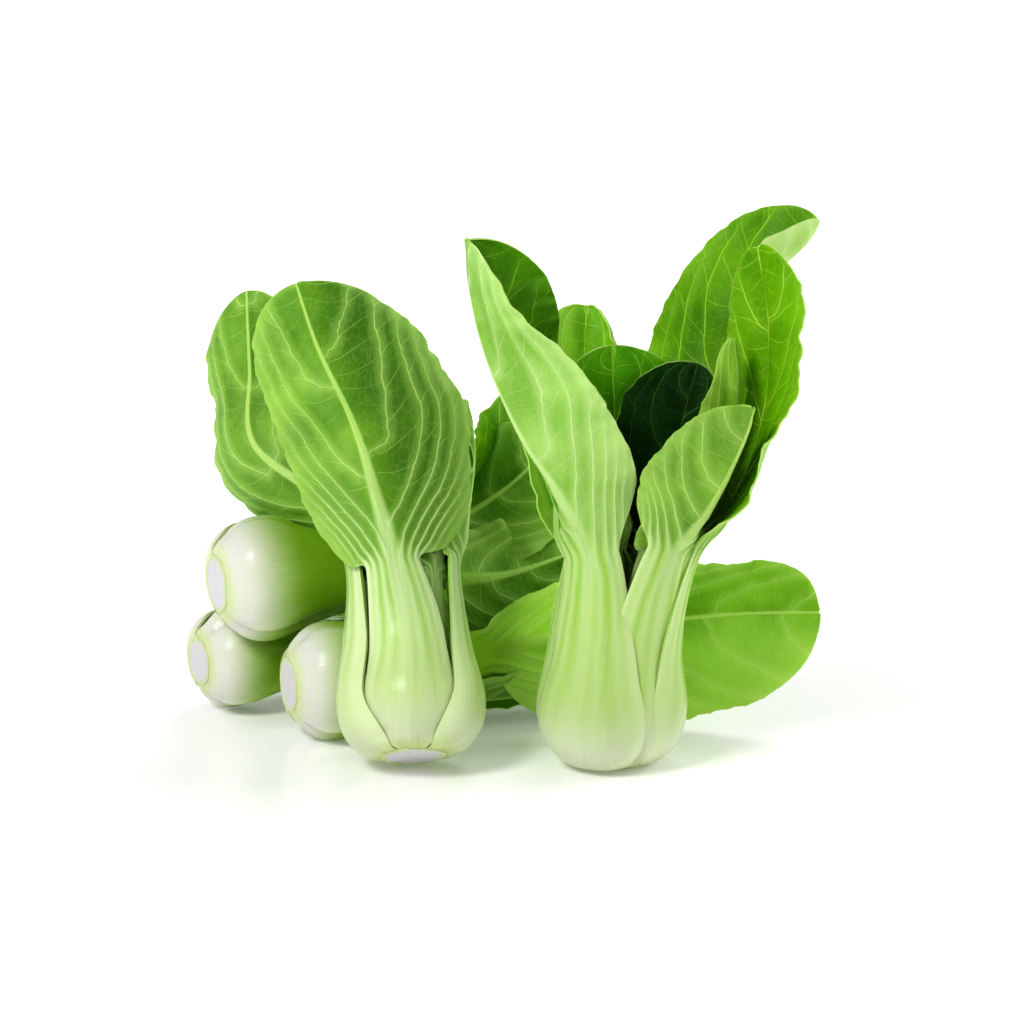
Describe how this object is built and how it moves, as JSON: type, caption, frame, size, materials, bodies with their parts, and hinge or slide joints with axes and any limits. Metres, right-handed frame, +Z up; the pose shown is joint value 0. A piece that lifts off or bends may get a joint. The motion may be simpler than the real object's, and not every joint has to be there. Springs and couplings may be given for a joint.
{
  "type": "shanghai bok choy bunch",
  "caption": "Bunch of small Shanghai bok choy: whole heads with pale swollen stalks and broad waved green leaves, some lying in a pile, one leaning back and one standing on its cut end.",
  "frame": {"origin": "on the table, in the middle of the bunch's footprint", "axes": "+X along the bunch's width, from the lying heads' cut ends towards the standing head; +Y away from the picture's camera; +Z up"},
  "size_m": [0.2316, 0.1916, 0.1892],
  "materials": {
    "outer_leaf": "satin",
    "inner_leaf": "satin",
    "cut_stem": "matte"
  },
  "bodies": {
    "root": {"back_lying_back": "outer_leaf", "back_lying_crown": "cut_stem", "back_lying_front": "outer_leaf", "back_lying_inner": "inner_leaf", "back_lying_top": "outer_leaf", "back_lying_under": "outer_leaf", "front_lying_back": "outer_leaf", "front_lying_crown": "cut_stem", "front_lying_front": "outer_leaf", "front_lying_inner": "inner_leaf", "front_lying_top": "outer_leaf", "front_lying_under": "outer_leaf", "leaning_back": "outer_leaf", "leaning_crown": "cut_stem", "leaning_front": "outer_leaf", "leaning_heart": "inner_leaf", "leaning_inner_back": "inner_leaf", "leaning_inner_left": "inner_leaf", "leaning_inner_right": "inner_leaf", "leaning_left": "outer_leaf", "leaning_right": "outer_leaf", "standing_back": "outer_leaf", "standing_back_left": "outer_leaf", "standing_back_right": "outer_leaf", "standing_crown": "cut_stem", "standing_front_left": "outer_leaf", "standing_front_right": "outer_leaf", "standing_heart_back": "inner_leaf", "standing_heart_front": "inner_leaf", "standing_inner_front": "inner_leaf", "standing_inner_left": "inner_leaf", "standing_inner_right": "inner_leaf", "standing_right": "outer_leaf", "top_lying_back": "outer_leaf", "top_lying_crown": "cut_stem", "top_lying_front": "outer_leaf", "top_lying_inner": "inner_leaf", "top_lying_top": "outer_leaf", "top_lying_under": "outer_leaf"}
  },
  "joints": []
}
